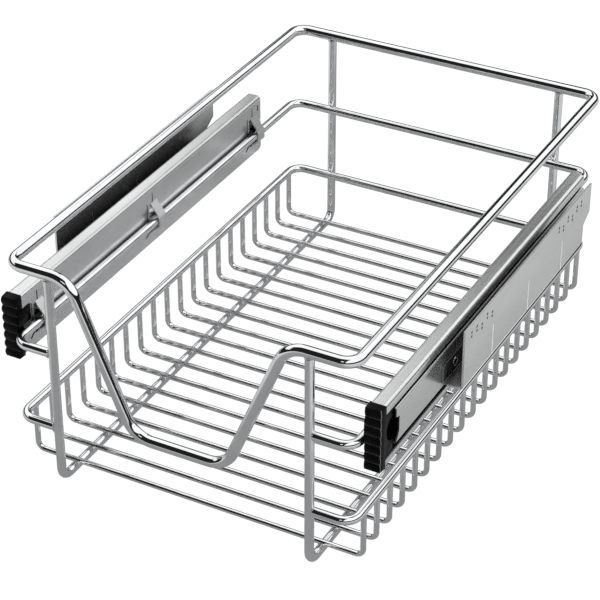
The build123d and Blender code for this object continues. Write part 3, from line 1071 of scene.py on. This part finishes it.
@dataclass(frozen=True)
class SteelParts:
    """The folded steel, the cages and the balls, whose CAD shape stays and gets its finish here."""

    finishes: Finishes
    outer: tuple = ("slide_outer_member",)
    folded: tuple = ("slide_middle_member", "slide_inner_member", "side_bracket")
    bare: tuple = ("outer_ball_cage", "inner_ball_cage", "outer_balls", "inner_balls")

    def dress(self) -> int:
        """Give every such node its finish.

        Returns:
            How many nodes were dressed.
        """
        dressed = 0
        for side in Side:
            for names, finish in (
                (self.outer, self.finishes.open_zinc),
                (self.folded, self.finishes.zinc),
                (self.bare, self.finishes.steel),
            ):
                for name in names:
                    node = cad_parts[f"{name}_{side.word}"]
                    for slot in node.material_slots:
                        slot.material = finish
                    dressed += 1
        return dressed


# ---------------------------------------------------------------------------
# Studio


@dataclass(frozen=True)
class Lamp:
    """A round soft lamp: where it hangs, its width in metres and its power in watts."""

    name: str
    place: Triple
    width: float
    power: float


@dataclass(frozen=True)
class Card:
    """An upright black card at the tent's rear, its bearing in degrees left of straight behind.

    Its half width in degrees and its top run from where the card is black to where the tent is white.
    """

    bearing: float
    half: tuple[float, float]
    top: tuple[float, float]


@dataclass(frozen=True)
class Studio:
    """White floor, soft lamps, the tent of cards that the metal reflects, and the camera."""

    camera_place: tuple = (0.6455, -1.251, 0.9698)
    camera_turn: float = 28.0
    camera_drop: float = 32.6
    lens: float = 126.5
    sensor: float = 36.0
    world_light: float = 0.55
    floor_half: float = 4.0
    floor_height: float = -0.0008
    floor_colour: tuple = (0.9, 0.9, 0.9, 1)
    floor_light: float = 1.06
    floor_share: float = 0.9
    grey_half: float = 2.4
    grey_height: float = -0.0004
    grey_reach: tuple = (0.2, 1.4)
    grey_tones: tuple = (0.30, 0.42)
    beside_reach: tuple = (0.16, 0.30)
    beside_tones: tuple = (0.0, 0.32)
    tent_radius: float = 2.6
    tent_segments: int = 96
    tent_rings: int = 64
    tent_tones: tuple = (0.015, 1.15)
    front_card_rear: tuple = (-0.24, -0.16)
    front_card_right: tuple = (0.30, 0.38)
    front_card_left: tuple = (-0.80, -0.70)
    horizon_card_top: tuple = (0.33, 0.38)
    rear_cards: tuple = (Card(16.0, (2.5, 4.5), (0.70, 0.76)), Card(25.0, (5.5, 7.5), (0.57, 0.61)))
    softbox_way: tuple = (0.10, -0.80, 0.59)
    softbox_half: tuple = (7.0, 5.0)
    lamps: tuple = (Lamp("top_lamp", (0.2, 0.1, 2.2), 2.2, 26.0), Lamp("front_lamp", (1.3, -1.6, 1.5), 1.4, 12.0))

    def looked_at(self, sheet: NodeSheet) -> NodeSocket:
        """1 for a ray of the camera, a reflection or a transmission, else 0."""
        path = sheet.add("ShaderNodeLightPath")
        pair = sheet.math("MAXIMUM", path.outputs["Is Camera Ray"], path.outputs["Is Glossy Ray"])
        return sheet.math("MAXIMUM", pair, path.outputs["Is Transmission Ray"])

    def build_world(self) -> None:
        """A white surrounding, plain to look at and soft on what it lights."""
        world = bpy.data.worlds.new("white_room")
        bpy.context.scene.world = world
        world.use_nodes = True
        sheet = NodeSheet(world.node_tree)
        sheet.tree.nodes.clear()
        seen = sheet.add("ShaderNodeBackground", {"Color": WHITE, "Strength": 1.0})
        soft = sheet.add("ShaderNodeBackground", {"Color": WHITE, "Strength": self.world_light})
        both = sheet.mix(self.looked_at(sheet), soft, seen)
        sheet.add("ShaderNodeOutputWorld", {"Surface": both.outputs[0]})

    def square(self, name: str, half: float, height: float, material: Material) -> Object:
        """A level square under the basket.

        Args:
            name: Its name.
            half: Half of its width in metres.
            height: Its Z in metres.
            material: Its material.

        Returns:
            The object.
        """
        mesh = bpy.data.meshes.new(name)
        corners = [(x * half, y * half, height) for x, y in ((-1, -1), (1, -1), (1, 1), (-1, 1))]
        mesh.from_pydata(corners, [], [(0, 1, 2, 3)])
        mesh.materials.append(material)
        return link_piece(name, mesh)

    def build_floor(self) -> None:
        """The floor: white, with the soft shadow of the basket."""
        sheet = MaterialSheet("floor_white")
        matt = sheet.add("ShaderNodeBsdfDiffuse", {"Color": self.floor_colour})
        shade = sheet.mix(self.floor_share, matt, sheet.glow(self.floor_light))
        white = sheet.end(sheet.mix(self.looked_at(sheet), matt, shade))
        floor = self.square("floor", self.floor_half, self.floor_height, white)

    def build_tent(self) -> None:
        """The tent over the basket and the grey card under it, which only reflections see."""
        form = bmesh.new()
        round_form = {"u_segments": self.tent_segments, "v_segments": self.tent_rings, "radius": self.tent_radius}
        bmesh.ops.create_uvsphere(form, **round_form)
        below = [v for v in form.verts if v.co.z < -LEVEL]
        bmesh.ops.delete(form, geom=below, context="VERTS")
        mesh = bpy.data.meshes.new("tent")
        form.to_mesh(mesh)
        form.free()
        mesh.shade_smooth()
        mesh.materials.append(self.tent_material())
        tent = link_piece("tent", mesh)
        card = self.square("grey_card", self.grey_half, self.grey_height, self.grey_material())
        for cloth in (tent, card):
            for rays in ("camera", "diffuse", "transmission", "shadow"):
                setattr(cloth, f"visible_{rays}", False)

    def grey_material(self) -> Material:
        """The grey under the basket, a little lighter away from it and lighter still beside it."""
        sheet = MaterialSheet("grey_card")
        away = sheet.add("ShaderNodeVectorMath", {0: sheet.place()}, operation="LENGTH")
        tone = sheet.ranged(away.outputs["Value"], self.grey_reach, self.grey_tones)
        axes = sheet.add("ShaderNodeSeparateXYZ", {0: sheet.place()})
        beside = sheet.math("ABSOLUTE", axes.outputs[0])
        lift = sheet.ranged(beside, self.beside_reach, self.beside_tones)
        return sheet.end(sheet.glow(sheet.math("ADD", tone, lift)))

    def tent_material(self) -> Material:
        """White tent with a tall black card in front, a low one all round and two upright ones at the left rear.

        The front card has a bright softbox in it. Places are those on a dome of radius 1.
        """
        sheet = MaterialSheet("tent_cards")
        way = sheet.add("ShaderNodeVectorMath", {0: sheet.place()}, operation="NORMALIZE").outputs[0]
        axes = sheet.add("ShaderNodeSeparateXYZ", {0: way})
        across, along, up = axes.outputs

        def step(value: NodeSocket, ends: tuple) -> NodeSocket:
            """0 below the first end, 1 above the second and smooth between."""
            return sheet.ranged(value, ends, interpolation_type="SMOOTHSTEP")

        left = sheet.math("SUBTRACT", 1.0, step(across, self.front_card_left))
        beside = sheet.math("MAXIMUM", step(across, self.front_card_right), left)
        tone = sheet.math("MAXIMUM", step(along, self.front_card_rear), beside)
        tone = sheet.math("MINIMUM", tone, step(up, self.horizon_card_top))
        turn = sheet.math("ARCTAN2", across, along)
        for card in self.rear_cards:
            off = sheet.math("ABSOLUTE", sheet.math("ADD", turn, math.radians(card.bearing)))
            past = step(off, tuple(math.radians(a) for a in card.half))
            tone = sheet.math("MINIMUM", tone, sheet.math("MAXIMUM", past, step(up, card.top)))
        middle = Vector(self.softbox_way).normalized()
        aim = sheet.add("ShaderNodeVectorMath", {0: way, 1: middle}, operation="DOT_PRODUCT")
        softbox = step(aim.outputs["Value"], tuple(math.cos(math.radians(a)) for a in self.softbox_half))
        tone = sheet.math("MAXIMUM", tone, softbox)
        return sheet.end(sheet.glow(sheet.ranged(tone, (0.0, 1.0), self.tent_tones)))

    def build_lamps(self) -> None:
        """Two large soft lamps, above the basket and in front of it to the right."""
        for lamp in self.lamps:
            data = bpy.data.lights.new(lamp.name, "AREA")
            data.shape = "DISK"
            data.size = lamp.width
            data.energy = lamp.power
            hung = bpy.data.objects.new(lamp.name, data)
            hung.location = lamp.place
            hung.rotation_euler = (-Vector(lamp.place)).to_track_quat("-Z", "Y").to_euler()
            hung.visible_glossy = False
            bpy.context.scene.collection.objects.link(hung)

    def build_camera(self) -> None:
        """The camera, at the photograph's viewing angle."""
        data = bpy.data.cameras.new("camera")
        data.lens = self.lens
        data.sensor_width = self.sensor
        camera = bpy.data.objects.new("camera", data)
        turn = Matrix.Rotation(math.radians(self.camera_turn), 4, "Z")
        drop = Matrix.Rotation(math.radians(90 - self.camera_drop), 4, "X")
        camera.matrix_world = Matrix.Translation(self.camera_place) @ turn @ drop
        bpy.context.scene.collection.objects.link(camera)
        bpy.context.scene.camera = camera

    def build(self) -> None:
        """Set up the whole studio."""
        bpy.context.scene.view_settings.view_transform = "Standard"
        self.build_world()
        self.build_floor()
        self.build_tent()
        self.build_lamps()
        self.build_camera()


def main() -> None:
    """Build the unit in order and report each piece."""
    logging.basicConfig(level=logging.INFO, format="%(name)s: %(message)s")
    finishes = Finishes.mixed()
    pieces = WireBasket(finishes).build()
    for side in Side:
        pieces += SlideEnds(side, finishes).build()
        pieces += BracketRivets(side, finishes).build()
        pieces += SlotLips(side, finishes).build()
    for piece in pieces:
        log.info("%s has %d faces", piece.name, len(piece.data.polygons))
    log.info("%d CAD nodes dressed", SteelParts(finishes).dress())
    Studio().build()


if __name__ == "__main__":
    main()
